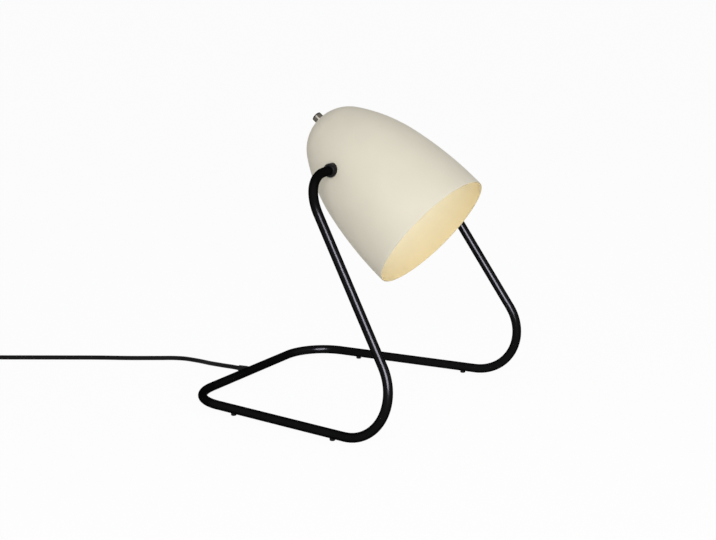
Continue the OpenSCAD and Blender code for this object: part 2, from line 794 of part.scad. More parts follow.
module holder_insert() {
  color(ceramic) on_shade() difference() {
    translate([0, 0, insert_end_z]) cylinder(r = cap_r - seat_gap, h = insert_h);
    for (side = [-1, 1]) translate([0, side * terminal_y, insert_end_z - cut])
      cylinder(d = terminal_d + 2 * seat_gap, h = insert_h + 2 * cut);
  }
}

module terminal_screws() {
  head = 2;
  head_d = terminal_d + 2;
  slot = 0.8;
  color(brass) on_shade() for (side = [-1, 1])
    translate([0, side * terminal_y, insert_z + seat_gap]) difference() {
      union() {
        cylinder(d = head_d, h = head);
        translate([0, 0, -insert_h / 2]) cylinder(d = terminal_d, h = insert_h / 2 + head / 2);
      }
      translate([-head_d, -slot / 2, head - slot]) cube([2 * head_d, slot, head]);
    }
}

// Screws onto the cap and holds the insert against its edge
module holder_shell() {
  mouth_r = screw_r + screw_wall + 2;
  ledge_h = 2;
  lip = 1;
  color(black) on_shade() rotate_extrude() polygon([
    [cap_r + seat_gap, shell_z], [shell_r - lip, shell_z], [shell_r, shell_z - lip],
    [shell_r, shell_end_z + lip], [shell_r - lip, shell_end_z], [mouth_r, shell_end_z],
    [mouth_r, ledge_z], [cap_r + seat_gap, ledge_z]]);
}

module screw_shell() {
  r = screw_r + screw_wall;
  hole_r = 4.5;
  color(brass) on_shade() rotate_extrude() polygon([
    [hole_r, screw_z], [r, screw_z], [r, screw_z - screw_h], [screw_r, screw_z - screw_h],
    [screw_r, screw_z - screw_wall], [hole_r, screw_z - screw_wall]]);
}

// A bent brass strip that the bulb's contact presses on
module centre_contact() {
  strip = 0.5;
  width = 4;
  reach = 3;
  color(brass) on_shade() translate([0, width / 2, screw_z]) rotate([90, 0, 0]) linear_extrude(width)
    polygon([
      [-reach, 0], [-reach, -strip], [reach - strip, -strip], [reach - strip, -tongue_h + strip],
      [-reach / 2, -tongue_h + strip], [-reach / 2, -tongue_h], [reach, -tongue_h], [reach, 0]]);
}

// Bulb

module bulb_contact() {
  color(nickel) on_shade() rotate_extrude() polygon([
    [0, bulb_tip_z], [1.6, bulb_tip_z], [2.2, bulb_tip_z - 0.6], [2.2, bulb_tip_z - 1.2],
    [4.5, bulb_cap_z + seat_gap], [0, bulb_cap_z + seat_gap]]);
}

module bulb_cap() {
  r = bulb_cap_d / 2;
  shoulder = 1.2;
  color(nickel) on_shade() rotate_extrude() polygon([
    [0, bulb_cap_z], [r - shoulder, bulb_cap_z], [r, bulb_cap_z - shoulder], [r, bulb_cap_z - bulb_cap_h],
    [0, bulb_cap_z - bulb_cap_h]]);
}

// Globe with a neck that runs into it on a hollow curve
module bulb_globe() {
  neck_z = bulb_cap_z - bulb_cap_h - seat_gap;
  neck_curve_r = 14;
  steps = 12;
  curve_c = [glass_neck_r + neck_curve_r,
    globe_z + sqrt(pow(globe_r + neck_curve_r, 2) - pow(glass_neck_r + neck_curve_r, 2))];
  meet = atan2(curve_c.x, curve_c.y - globe_z);
  function glass_curve(depth) = concat(
    [for (i = [0:steps]) polar(curve_c, neck_curve_r + depth, 270 - (90 - meet) * i / steps)],
    [for (i = [1:2 * steps - 1])
      polar([0, globe_z], globe_r - depth, meet + (180 - meet) * i / (2 * steps))]);
  color([1, 0.97, 0.88]) on_shade() rotate_extrude() polygon(concat(
    [[glass_neck_r - glass_wall, neck_z], [glass_neck_r, neck_z]], glass_curve(0),
    [[0, globe_z - globe_r], [0, globe_z - globe_r + glass_wall]], reversed(glass_curve(glass_wall))));
}

// Button

module push_button() {
  r = button_d / 2;
  top = seat_z + ring_h + button_out;
  bevel = 0.5;
  color(nickel) on_shade() rotate_extrude() polygon([
    [0, button_end_z], [r, button_end_z], [r, top - bevel], [r - bevel, top], [0, top]]);
}

module plunger() {
  color([0.9, 0.9, 0.88]) on_shade() translate([0, 0, bridge_z])
    cylinder(r = stem_r, h = button_end_z - bridge_z);
}

module contact_bridge() {
  color(brass) on_shade() translate([0, 0, bridge_z - bridge_h]) cylinder(r = bridge_r, h = bridge_h);
}

frame_tube();
foot_front_left();
foot_front_right();
foot_rear_left();
foot_rear_right();
strain_relief();
lead_in_tube();
tube_end_guard();
disc_spring_left();
disc_spring_right();
pivot_nut_left();
pivot_nut_right();
mains_cord();
cord_coil();
cord_tail();
cord_tie();
plug_body();
plug_pins();
shade();
pivot_bush_left();
pivot_bush_right();
inner_bush_left();
inner_bush_right();
lead_in_shade();
switch_barrel();
switch_ring_nut();
barrel_nut();
switch_spring();
switch_contacts();
holder_cap();
holder_insert();
terminal_screws();
holder_shell();
screw_shell();
centre_contact();
bulb_cap();
bulb_contact();
bulb_globe();
push_button();
plunger();
contact_bridge();
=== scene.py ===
"""Looks of a table lamp with a tilting shade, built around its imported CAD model."""
import json
import math

import bmesh
import bpy
from mathutils import Matrix, Vector


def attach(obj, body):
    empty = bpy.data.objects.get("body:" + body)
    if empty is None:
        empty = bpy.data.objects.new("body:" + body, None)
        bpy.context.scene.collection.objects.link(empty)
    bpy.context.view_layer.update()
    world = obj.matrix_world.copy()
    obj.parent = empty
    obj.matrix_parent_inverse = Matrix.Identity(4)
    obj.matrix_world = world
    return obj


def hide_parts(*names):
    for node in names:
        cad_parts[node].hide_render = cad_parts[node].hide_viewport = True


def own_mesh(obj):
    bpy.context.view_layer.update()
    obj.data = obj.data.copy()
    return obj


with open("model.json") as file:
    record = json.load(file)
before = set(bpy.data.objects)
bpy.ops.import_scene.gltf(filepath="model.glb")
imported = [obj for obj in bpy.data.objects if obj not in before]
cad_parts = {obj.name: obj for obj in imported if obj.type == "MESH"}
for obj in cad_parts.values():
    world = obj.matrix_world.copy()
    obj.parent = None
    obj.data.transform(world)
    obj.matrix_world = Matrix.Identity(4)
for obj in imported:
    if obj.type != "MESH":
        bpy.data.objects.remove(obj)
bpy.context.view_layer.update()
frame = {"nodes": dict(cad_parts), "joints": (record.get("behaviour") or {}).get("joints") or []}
nodes = frame["nodes"]
joints = {joint["name"]: joint for joint in frame["joints"]}
scene = bpy.context.scene
scene.view_settings.view_transform = "Standard"

MM = 0.001
METRE = 1000
PIVOT = Vector(joints["shade_tilt"]["pos_m"])
SHADE_AXIS = -Vector(joints["switch_press"]["axis"]).normalized()

# Camera, fitted to the stand's tube in the photograph, whose frame is 716 pixels wide
CAMERA_AT = Vector((-1.4717, -0.9213, 0.5511))
CAMERA_YAW = math.radians(58.167)
CAMERA_PITCH = math.radians(13.206)
CAMERA_ROLL = math.radians(-0.1435)
FOCAL_PIXELS = 1621.5
PHOTO_WIDTH = 716
SENSOR_WIDTH = 36.0

forward = Vector((
    math.sin(CAMERA_YAW) * math.cos(CAMERA_PITCH),
    math.cos(CAMERA_YAW) * math.cos(CAMERA_PITCH),
    -math.sin(CAMERA_PITCH)))
level = Vector((math.cos(CAMERA_YAW), -math.sin(CAMERA_YAW), 0))
upright = level.cross(forward)
right = math.cos(CAMERA_ROLL) * level + math.sin(CAMERA_ROLL) * upright
upward = -math.sin(CAMERA_ROLL) * level + math.cos(CAMERA_ROLL) * upright
camera = bpy.data.objects.new("camera", bpy.data.cameras.new("camera"))
camera.data.sensor_width = SENSOR_WIDTH
camera.data.lens = SENSOR_WIDTH * FOCAL_PIXELS / PHOTO_WIDTH
axes = Matrix((right, upward, -forward)).transposed().to_4x4()
camera.matrix_world = Matrix.Translation(CAMERA_AT) @ axes
scene.collection.objects.link(camera)
scene.camera = camera

# Route of the cord, from the strain relief to the coil, then the coil and the end with the plug.
# All lengths of the route are in millimetres until they become points of the curve.
CORD_D = 5.2
CORD_EXIT = Vector((0, 156.5, 7))
CORD_STEPS = [
    (0, 0, 0), (0, 10, 0), (0, 21, -0.3), (2, 33, -1.2), (5, 46, -2.4), (9, 60, -3.6),
    (11, 74, -4.3), (10, 88, -4.4), (5, 101, -4.4), (-3, 114, -4.4), (-11, 127, -4.4),
    (-19, 140, -4.4), (-27, 154, -4.4), (-35, 169, -4.4), (-44, 185, -4.4), (-53, 200, -4.4),
    (-62, 215, -4.4), (-71, 230, -4.4), (-80, 245, -4.4), (-89, 260, -4.4), (-98, 275, -4.4),
    (-107, 290, -4.2), (-116, 305, -3.6), (-125, 320, -3.1), (-134, 335, -3.1)]
COIL_DIR = math.atan2(15, -9)
COIL_R = 27.3
TURN_PITCH = 5.8
COIL_LAYERS = 4
LAYER_TURNS = 2
COIL_TURNS = COIL_LAYERS * LAYER_TURNS
COIL_OUTER_R = COIL_R + TURN_PITCH * LAYER_TURNS / 2
LOOP_POINTS = 24
CLIMB = 0.25
PLUG_HEIGHT = 13.7
TAIL_STEPS = [
    (0, 0, 0), (9, 0.6, -0.4), (18, 3.4, -1.8), (26, 8.6, -4), (32.5, 16, -6.8),
    (36.8, 25, -9.6), (39, 35, -12), (39.4, 45, -13.5), (39.4, 52, -13.8), (39.4, 58, -13.8)]


def smooth_step(u):
    """0 before 0, 1 after 1, and a smooth rise between them."""
    s = min(max(u, 0), 1)
    return s * s * (3 - 2 * s)


def coil_point(t):
    """Point of the coil after t turns: layers wind in and out by turns and climb onto each other."""
    u = t % (2 * LAYER_TURNS)
    r = COIL_OUTER_R - TURN_PITCH * min(u, 2 * LAYER_TURNS - u)
    climbs = [smooth_step((t - k * LAYER_TURNS + CLIMB) / (2 * CLIMB)) for k in range(1, COIL_LAYERS)]
    a = 2 * math.pi * t
    return Vector((r * math.sin(a), COIL_OUTER_R - r * math.cos(a), TURN_PITCH * sum(climbs)))


cord_route = [CORD_EXIT + Vector(p) for p in CORD_STEPS]
coil_start = cord_route[-1]
turn_to_coil = Matrix.Rotation(COIL_DIR, 3, "Z")


def from_coil(p):
    """A point of the coil's own frame, set where the cord's route arrives."""
    return coil_start + turn_to_coil @ (p + Vector((CORD_D, 0, 0)))


coil_local = [coil_point(i / LOOP_POINTS) for i in range(COIL_TURNS * LOOP_POINTS + 1)]
tail_top = coil_local[-1] + Vector((CORD_D, 0, 0))
tail_scale = (tail_top.z + coil_start.z - PLUG_HEIGHT / 2) / -TAIL_STEPS[-1][2]
tail_local = [tail_top + Vector((x, y, z * tail_scale)) for x, y, z in TAIL_STEPS]
route = cord_route + [from_coil(p) for p in coil_local + tail_local]
route = [p * MM for p in route]
plug_turn = Matrix.Rotation(COIL_DIR + math.pi / 2, 4, "Z")


def smooth_handles(spline, points):
    """A Bezier spline through the points, with tangents along the chords of their neighbours."""
    spline.bezier_points.add(len(points) - 1)
    last = len(points) - 1
    for i, (bp, p) in enumerate(zip(spline.bezier_points, points)):
        before, after = points[max(i - 1, 0)], points[min(i + 1, last)]
        tangent = (after - before).normalized()
        bp.co = p
        bp.radius = CORD_D / 2 * MM
        bp.handle_left_type = bp.handle_right_type = "FREE"
        bp.handle_left = p - tangent * (p - before).length / 3
        bp.handle_right = p + tangent * (after - p).length / 3


flex_curve = bpy.data.curves.new("mains_flex", "CURVE")
flex_curve.dimensions = "3D"
flex_curve.bevel_depth = 1.0  # times the radius of each point, which is the cord's
flex_curve.bevel_resolution = 5
flex_curve.resolution_u = 5
flex_curve.use_fill_caps = True
smooth_handles(flex_curve.splines.new("BEZIER"), route)
flex = bpy.data.objects.new("mains_flex", flex_curve)
scene.collection.objects.link(flex)
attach(flex, "frame")
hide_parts("mains_cord", "cord_coil", "cord_tail")

# Tie round the coil: a flat strap with round corners, whose end lies over its start.
# Its lengths are in millimetres, and its lift is in walls of the strap.
TIE_WALL = 0.8
TIE_WIDTH = 5.0
TIE_GAP = 0.3
TIE_OVERLAP = 11.0
TIE_EDGE = 0.18
TIE_EDGE_ANGLE = math.radians(50)
TIE_STEP = 1.2
TIE_LIFT = 1.55
CORNER_STEPS = 6
cord_r = CORD_D / 2
tie_in = COIL_OUTER_R - TURN_PITCH * LAYER_TURNS - cord_r - TIE_GAP
tie_out = COIL_OUTER_R + cord_r + TIE_GAP
tie_low = -cord_r - TIE_GAP
tie_high = TURN_PITCH * (COIL_LAYERS - 1) + cord_r + TIE_GAP
tie_round = cord_r + TIE_GAP


def strap_outline(grow):
    """Round-cornered loop in the plane of the tie, grown outwards, as (radial, height) points."""
    corners = [
        (tie_out - tie_round, tie_high - tie_round, 0), (tie_in + tie_round, tie_high - tie_round, 90),
        (tie_in + tie_round, tie_low + tie_round, 180), (tie_out - tie_round, tie_low + tie_round, 270)]
    loop = []
    for cx, cy, start in corners:
        for k in range(CORNER_STEPS + 1):
            a = math.radians(start + 90 * k / CORNER_STEPS)
            loop.append((cx + (tie_round + grow) * math.cos(a), cy + (tie_round + grow) * math.sin(a)))
    return loop


def resampled(points, step):
    """The same open line with points no further apart than step."""
    out = [points[0]]
    for a, b in zip(points, points[1:]):
        n = max(1, math.ceil(math.dist(a, b) / step))
        out += [(a[0] + (b[0] - a[0]) * k / n, a[1] + (b[1] - a[1]) * k / n) for k in range(1, n + 1)]
    return out


def strap_line():
    """Centreline of the strap: once round, then over its own start, lifted by more than its wall."""
    inner = strap_outline(TIE_WALL / 2)
    once = resampled(inner + inner[:1], TIE_STEP)
    outer = resampled(strap_outline(TIE_WALL * TIE_LIFT), TIE_STEP)
    line = once[2:]  # the start is cut back by two points, so that the end can climb over it
    length = 0
    for a, b in zip(outer, outer[1:]):
        length += math.dist(a, b)
        if length > TIE_OVERLAP:
            break
        line.append(b)
    return line


def lofted(name, rings):
    """A mesh piece through rings of points, closed at both ends."""
    bm = bmesh.new()
    rings = [[bm.verts.new(p) for p in ring] for ring in rings]
    sides = len(rings[0])
    for r0, r1 in zip(rings, rings[1:]):
        for k in range(sides):
            bm.faces.new((r0[k], r0[(k + 1) % sides], r1[(k + 1) % sides], r1[k]))
    bm.faces.new(rings[0][::-1])
    bm.faces.new(rings[-1])
    bmesh.ops.recalc_face_normals(bm, faces=bm.faces[:])
    mesh = bpy.data.meshes.new(name)
    bm.to_mesh(mesh)
    bm.free()
    piece = bpy.data.objects.new(name, mesh)
    scene.collection.objects.link(piece)
    return piece


def make_strap():
    """The tie, as a strap of one thickness along its centreline, with its edges rounded."""
    line = strap_line()
    half = TIE_WALL / 2
    corners = [(-1, -half), (1, -half), (1, half), (-1, half)]
    rings = []
    for i, p in enumerate(line):
        a, b = line[max(i - 1, 0)], line[min(i + 1, len(line) - 1)]
        d = Vector((b[0] - a[0], b[1] - a[1])).normalized()
        n = Vector((d.y, -d.x))
        points = [(side, Vector(p) + n * off) for side, off in corners]
        rings.append([Vector((q.x, side * TIE_WIDTH / 2, q.y)) * MM for side, q in points])
    strap = lofted("cord_strap", rings)
    centre = from_coil(Vector((0, COIL_OUTER_R, 0))) * MM
    strap.matrix_world = Matrix.Translation(centre) @ plug_turn
    edge = strap.modifiers.new("edge", "BEVEL")
    edge.width = TIE_EDGE * MM
    edge.segments = 2
    edge.limit_method = "ANGLE"
    edge.angle_limit = TIE_EDGE_ANGLE
    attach(strap, "frame")
    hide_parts("cord_tie")
    return strap


strap = make_strap()

# Return spring of the button, which the real button squeezes as it goes in; here it rides the shade
# unsqueezed. Lengths are in millimetres.
SPRING_R = 2.8
SPRING_WIRE = 0.8
SPRING_TURNS = 6
WIRE_SIDES = 8


def make_spring():
    """The spring as round wire, in the space of its CAD node."""
    heights = [(v.co - PIVOT).dot(SHADE_AXIS) for v in nodes["switch_spring"].data.vertices]
    foot, top = min(heights), max(heights)
    start = foot / MM + SPRING_WIRE / 2
    climb = (top - foot) / MM - SPRING_WIRE
    steps = SPRING_TURNS * LOOP_POINTS
    slope = climb / (2 * math.pi * SPRING_TURNS * SPRING_R)
    across = Vector((1, 0, 0))
    to_frame = Matrix((across, SHADE_AXIS.cross(across), SHADE_AXIS)).transposed()
    rings = []
    for i in range(steps + 1):
        a = 2 * math.pi * i / LOOP_POINTS
        out = Vector((math.cos(a), math.sin(a), 0))
        along = Vector((-math.sin(a), math.cos(a), slope)).normalized()
        centre = out * SPRING_R + Vector((0, 0, start + climb * i / steps))
        ring = []
        for k in range(WIRE_SIDES):
            b = 2 * math.pi * k / WIRE_SIDES
            offset = out * math.cos(b) + along.cross(out) * math.sin(b)
            ring.append(PIVOT + to_frame @ (centre + offset * SPRING_WIRE / 2) * MM)
        rings.append(ring)
    spring = lofted("return_spring", rings)
    spring.data.shade_smooth()
    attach(spring, "shade")
    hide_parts("switch_spring")
    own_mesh(spring)
    return spring


spring = make_spring()

# Normals: CAD faces come as separate patches, so each node is welded and smoothed by angle.
# The welding distance is in millimetres.
WELD_DISTANCE = 0.002
SMOOTH_BELOW = math.radians(24)
EDGE_ANGLE = math.radians(35)
EDGE_SEGMENTS = 3


def smoothing_group():
    """Geometry nodes that weld a node's patches and shade it smooth where its edges are shallow."""
    group = bpy.data.node_groups.new("weld_and_smooth", "GeometryNodeTree")
    group.interface.new_socket("Geometry", in_out="INPUT", socket_type="NodeSocketGeometry")
    group.interface.new_socket("Geometry", in_out="OUTPUT", socket_type="NodeSocketGeometry")
    n = group.nodes
    source = n.new("NodeGroupInput")
    result = n.new("NodeGroupOutput")
    weld = n.new("GeometryNodeMergeByDistance")
    weld.inputs["Distance"].default_value = WELD_DISTANCE * MM
    faces = n.new("GeometryNodeSetShadeSmooth")
    faces.domain = "FACE"
    edges = n.new("GeometryNodeSetShadeSmooth")
    edges.domain = "EDGE"
    angle = n.new("GeometryNodeInputMeshEdgeAngle")
    flat = n.new("FunctionNodeCompare")
    flat.data_type = "FLOAT"
    flat.operation = "LESS_THAN"
    flat.inputs[1].default_value = SMOOTH_BELOW
    link = group.links.new
    link(source.outputs[0], weld.inputs["Geometry"])
    link(weld.outputs[0], faces.inputs["Geometry"])
    link(faces.outputs[0], edges.inputs["Geometry"])
    link(angle.outputs["Unsigned Angle"], flat.inputs[0])
    link(flat.outputs[0], edges.inputs["Shade Smooth"])
    link(edges.outputs[0], result.inputs[0])
    return group


weld_and_smooth = smoothing_group()
for node in nodes.values():
    if "custom_normal" in node.data.attributes:
        node.data.attributes.remove(node.data.attributes["custom_normal"])
    node.modifiers.new("smooth", "NODES").node_group = weld_and_smooth


def soften(name, width):
    """Rounds a CAD node's moulded or turned edges."""
    edge = nodes[name].modifiers.new("edge", "BEVEL")
    edge.width = width * MM
    edge.segments = EDGE_SEGMENTS
    edge.limit_method = "ANGLE"
    edge.angle_limit = EDGE_ANGLE


soften("plug_body", width=0.7)
soften("push_button", width=0.2)

# Materials
NOISE_LOW, NOISE_HIGH = 0.25, 0.75
CLOUD_LOW, CLOUD_HIGH = 0.3, 0.7


class Shader:
    """A material with a Principled shader and the few nodes that every finish here uses."""

    def __init__(self, name, roughness, metallic=0.0, specular=0.5):
        self.material = bpy.data.materials.new(name)
        self.material.use_nodes = True
        self.tree = self.material.node_tree
        self.bsdf = self.tree.nodes["Principled BSDF"]
        self.bsdf.inputs["Roughness"].default_value = roughness
        self.bsdf.inputs["Metallic"].default_value = metallic
        self.bsdf.inputs["Specular IOR Level"].default_value = specular
        self.place = self.tree.nodes.new("ShaderNodeTexCoord").outputs["Object"]

    def node(self, kind, **values):
        made = self.tree.nodes.new(kind)
        for key, value in values.items():
            setattr(made, key, value)
        return made

    def link(self, a, b):
        self.tree.links.new(a, b)

    def noise(self, size_mm, detail, rough=0.5, place=None):
        tex = self.node("ShaderNodeTexNoise")
        tex.inputs["Scale"].default_value = 1 / (size_mm * MM)
        tex.inputs["Detail"].default_value = detail
        tex.inputs["Roughness"].default_value = rough
        self.link(place or self.place, tex.inputs["Vector"])
        return tex.outputs["Fac"]

    def ramp(self, fac, stops):
        """Colour by value: stops are (position, colour)."""
        made = self.node("ShaderNodeValToRGB")
        elements = made.color_ramp.elements
        for k, (position, colour) in enumerate(stops):
            e = elements[k] if k < 2 else elements.new(position)
            e.position = position
            e.color = (*colour, 1)
        self.link(fac, made.inputs["Fac"])
        return made.outputs["Color"]

    def clouds(self, size_mm, low, high, detail):
        """A colour that drifts between two tones in clouds of about that size."""
        return self.ramp(self.noise(size_mm, detail), [(CLOUD_LOW, low), (CLOUD_HIGH, high)])

    def spread(self, fac, low, high):
        """A noise value stretched to a range."""
        made = self.node("ShaderNodeMapRange")
        made.inputs["From Min"].default_value = NOISE_LOW
        made.inputs["From Max"].default_value = NOISE_HIGH
        made.inputs["To Min"].default_value = low
        made.inputs["To Max"].default_value = high
        self.link(fac, made.inputs["Value"])
        return made.outputs["Result"]

    def bump(self, height, depth_mm):
        made = self.node("ShaderNodeBump")
        made.inputs["Strength"].default_value = 1.0
        made.inputs["Distance"].default_value = depth_mm * MM
        self.link(height, made.inputs["Height"])
        return made.outputs["Normal"]

    def colour(self, socket):
        self.link(socket, self.bsdf.inputs["Base Color"])

    def rough(self, socket):
        self.link(socket, self.bsdf.inputs["Roughness"])

    def normal(self, socket):
        self.link(socket, self.bsdf.inputs["Normal"])

    def along(self, axis, factor):
        """Position along an axis, times a factor, as a vector for ring-shaped turning marks."""
        dot = self.node("ShaderNodeVectorMath", operation="DOT_PRODUCT")
        dot.inputs[1].default_value = axis * factor
        self.link(self.place, dot.inputs[0])
        joined = self.node("ShaderNodeCombineXYZ")
        self.link(dot.outputs["Value"], joined.inputs["X"])
        return joined.outputs["Vector"]


def tones(colour, *shares):
    """The colour times each share."""
    return [tuple(c * s for c in colour) for s in shares]


def painted(name, colour, roughness, specular, peel_mm, peel_depth, spread):
    """Sprayed lacquer: faint clouds of colour, orange peel and a roughness that varies a little."""
    s = Shader(name, roughness, specular=specular)
    low, high = tones(colour, 1 - spread, 1 + spread)
    s.colour(s.clouds(45, low, high, detail=4))
    patches = s.noise(18, detail=5, rough=0.6)
    s.rough(s.spread(patches, low=roughness - 0.04, high=roughness + 0.05))
    s.normal(s.bump(s.noise(peel_mm, detail=2), peel_depth))
    return s.material


def moulded(name, colour, roughness, grain_mm, grain_depth, specular=0.4):
    """Moulded plastic or rubber: a fine spark-eroded grain and dull patches from handling."""
    s = Shader(name, roughness, specular=specular)
    low, high = tones(colour, 0.85, 1.2)
    s.colour(s.clouds(14, low, high, detail=4))
    patches = s.noise(5, detail=4, rough=0.6)
    s.rough(s.spread(patches, low=roughness - 0.06, high=roughness + 0.1))
    s.normal(s.bump(s.noise(grain_mm, detail=3, rough=0.6), grain_depth))
    return s.material


def turned(name, colour, roughness, axis, groove_mm, groove_depth):
    """Turned and plated metal: fine rings from the tool, faint stains and an uneven roughness."""
    s = Shader(name, roughness, metallic=1.0)
    low, high = tones(colour, 0.9, 1.06)
    rings = s.noise(METRE, detail=4, rough=0.7, place=s.along(axis, METRE / groove_mm))
    s.colour(s.clouds(3, low, high, detail=4))
    s.rough(s.spread(rings, low=roughness - 0.05, high=roughness + 0.08))
    s.normal(s.bump(rings, groove_depth))
    return s.material


def tint_along(material, axis, begin, end, colour):
    """Mixes a colour into a material along an axis, from none of it at begin to all of it at end."""
    tree = material.node_tree
    bsdf = tree.nodes["Principled BSDF"]
    body = bsdf.inputs["Base Color"].links[0].from_socket
    place = next(n for n in tree.nodes if n.type == "TEX_COORD").outputs["Object"]
    along = tree.nodes.new("ShaderNodeVectorMath")
    along.operation = "DOT_PRODUCT"
    along.inputs[1].default_value = axis
    tree.links.new(place, along.inputs[0])
    mask = tree.nodes.new("ShaderNodeMapRange")
    mask.inputs["From Min"].default_value = begin
    mask.inputs["From Max"].default_value = end
    tree.links.new(along.outputs["Value"], mask.inputs["Value"])
    mix = tree.nodes.new("ShaderNodeMix")
    mix.data_type = "RGBA"
    tree.links.new(mask.outputs["Result"], mix.inputs["Factor"])
    tree.links.new(body, mix.inputs["A"])
    mix.inputs["B"].default_value = (*colour, 1)
    tree.links.new(mix.outputs["Result"], bsdf.inputs["Base Color"])


def sheathed(name, colour):
    """Smooth cord sheath with faint clouds of colour and a fine uneven surface."""
    s = Shader(name, roughness=0.42, specular=0.06)
    low, high = tones(colour, 0.8, 1.25)
    s.colour(s.clouds(20, low, high, detail=3))
    s.rough(s.spread(s.noise(6, detail=4, rough=0.6), low=0.36, high=0.52))
    s.normal(s.bump(s.noise(0.9, detail=3, rough=0.6), depth_mm=0.006))
    return s.material


def glowing(name, colour, warm, strength):
    """Opal glass that is lit from inside, with a faint mottle."""
    s = Shader(name, roughness=0.18)
    low, high = tones(colour, 0.97, 1.0)
    s.colour(s.clouds(8, low, high, detail=3))
    s.bsdf.inputs["Emission Strength"].default_value = strength
    dim, full = tones(warm, 0.94, 1.0)
    s.link(s.clouds(12, dim, full, detail=2), s.bsdf.inputs["Emission Color"])
    s.rough(s.spread(s.noise(10, detail=3), low=0.14, high=0.24))
    return s.material


def fired(name, colour):
    """Glazed ceramic with small specks."""
    s = Shader(name, roughness=0.3)
    speck, body = tones(colour, 0.72, 1.0)
    s.colour(s.ramp(s.noise(0.6, detail=2), [(0.28, speck), (0.36, body)]))
    s.rough(s.spread(s.noise(4, detail=3), low=0.24, high=0.42))
    s.normal(s.bump(s.noise(1.4, detail=2), depth_mm=0.01))
    return s.material


CREAM = (0.70, 0.655, 0.54)
# Inside of the shade: ivory paint with the bulb's light painted in, paler deep inside and more golden at
# the mouth
INSIDE_IVORY_PAINTED_LIT = (0.69, 0.64, 0.50)
MOUTH_IVORY_PAINTED_GLOW = (0.64, 0.535, 0.32)
BLACK = (0.0064, 0.0064, 0.0066)
DARK_PLASTIC = (0.006, 0.006, 0.007)
GREY_PLASTIC = (0.62, 0.62, 0.58)
SHEATH = (0.004, 0.004, 0.0044)
RUBBER = (0.006, 0.006, 0.006)
WEBBING = (0.012, 0.012, 0.013)
CERAMIC = (0.78, 0.76, 0.70)
OPAL = (0.86, 0.82, 0.72)
WARM_LIGHT = (1.0, 0.97, 0.90)
GLOW = 6.3
NICKEL = (0.50, 0.48, 0.44)
BRASS = (0.62, 0.43, 0.16)
# The button and its ring nut are nickel painted darker, as painted shade for the dark surroundings their
# metal reflects
BUTTON_NICKEL_SHADED = (0.13, 0.121, 0.102)
RING_NICKEL_SHADED = (0.24, 0.225, 0.19)
EDGE_TINT = (0.30, 0.28, 0.24)
NO_EDGE = (0.0, 0.0, 0.0)
FRAME_METALLIC = 0.5

# The button's end is painted shade: it darkens over these millimetres before its end, to a share of its
# colour. The ivory of the shade's inside, with the bulb's glow painted in, fades out this many
# millimetres in from the mouth. A face is inside if its normal leans inwards by more than this.
PAINTED_SHADE_BEGINS, PAINTED_SHADE_FULL, PAINTED_SHADE_SHARE = 1.6, 1.2, 0.1
PAINTED_GLOW_DEPTH = 36
INWARD = -0.1

FRAME_SPRAY = dict(roughness=0.22, specular=0.0, peel_mm=2.2, peel_depth=0.001, spread=0.15)
SHADE_SPRAY = dict(roughness=0.55, specular=0.08, peel_mm=2.0, peel_depth=0.005, spread=0.02)
FINE_TURNING = dict(roughness=0.24, axis=SHADE_AXIS, groove_mm=0.16, groove_depth=0.003)

finishes = {
    "frame_paint": painted("frame_paint_look", BLACK, **FRAME_SPRAY),
    "shade_paint": painted("shade_paint_look", CREAM, **SHADE_SPRAY),
    "black_plastic": moulded(
        "black_plastic_look", DARK_PLASTIC, roughness=0.34, grain_mm=0.4, grain_depth=0.01, specular=0.1),
    "grey_plastic": moulded(
        "grey_plastic_look", GREY_PLASTIC, roughness=0.42, grain_mm=0.4, grain_depth=0.012),
    "soft_black": sheathed("soft_black_look", SHEATH),
    "nickel": turned("nickel_look", NICKEL, **FINE_TURNING),
    "brass": turned(
        "brass_look", BRASS, roughness=0.3, axis=SHADE_AXIS, groove_mm=0.2, groove_depth=0.004),
    "ceramic": fired("ceramic_look", CERAMIC),
    "opal_glass": glowing("opal_glass_look", OPAL, warm=WARM_LIGHT, strength=GLOW),
}

# The tube's gloss stays even at flat angles, so that its line does not flare in views from behind
frame_shader = finishes["frame_paint"].node_tree.nodes["Principled BSDF"]
frame_shader.inputs["Metallic"].default_value = FRAME_METALLIC
frame_shader.inputs["Specular Tint"].default_value = (*NO_EDGE, 1)

# Finishes of single pieces: feet and strain relief, tie, button with a painted dark end, its ring nut,
# and the shade's inside with its painted glow
rubber = moulded("rubber_look", RUBBER, roughness=0.62, grain_mm=0.5, grain_depth=0.02, specular=0.1)
webbing = moulded("webbing_look", WEBBING, roughness=0.7, grain_mm=0.3, grain_depth=0.05, specular=0.2)
BUTTON_END = max(v.co.dot(SHADE_AXIS) for v in nodes["push_button"].data.vertices)
button_metal = turned("button_look", BUTTON_NICKEL_SHADED, **FINE_TURNING)
button_shader = button_metal.node_tree.nodes["Principled BSDF"]
button_shader.inputs["Specular Tint"].default_value = (*EDGE_TINT, 1)
# Painted shade: the button's last millimetres darken to a share of its colour, for a dark reflection at
# its end
tint_along(
    button_metal, SHADE_AXIS, BUTTON_END - PAINTED_SHADE_BEGINS * MM, BUTTON_END - PAINTED_SHADE_FULL * MM,
    tones(BUTTON_NICKEL_SHADED, PAINTED_SHADE_SHARE)[0])
ring_metal = turned("ring_look", RING_NICKEL_SHADED, **FINE_TURNING)
SHADE_MOUTH = min(v.co.dot(SHADE_AXIS) for v in nodes["shade"].data.vertices)
inside_paint_glow = painted("inside_paint_look", INSIDE_IVORY_PAINTED_LIT, **SHADE_SPRAY)
# Painted light: the bulb's glow is painted into the inside, golden at the mouth and paler deeper in
tint_along(inside_paint_glow, SHADE_AXIS, SHADE_MOUTH + PAINTED_GLOW_DEPTH * MM, SHADE_MOUTH, MOUTH_IVORY_PAINTED_GLOW)


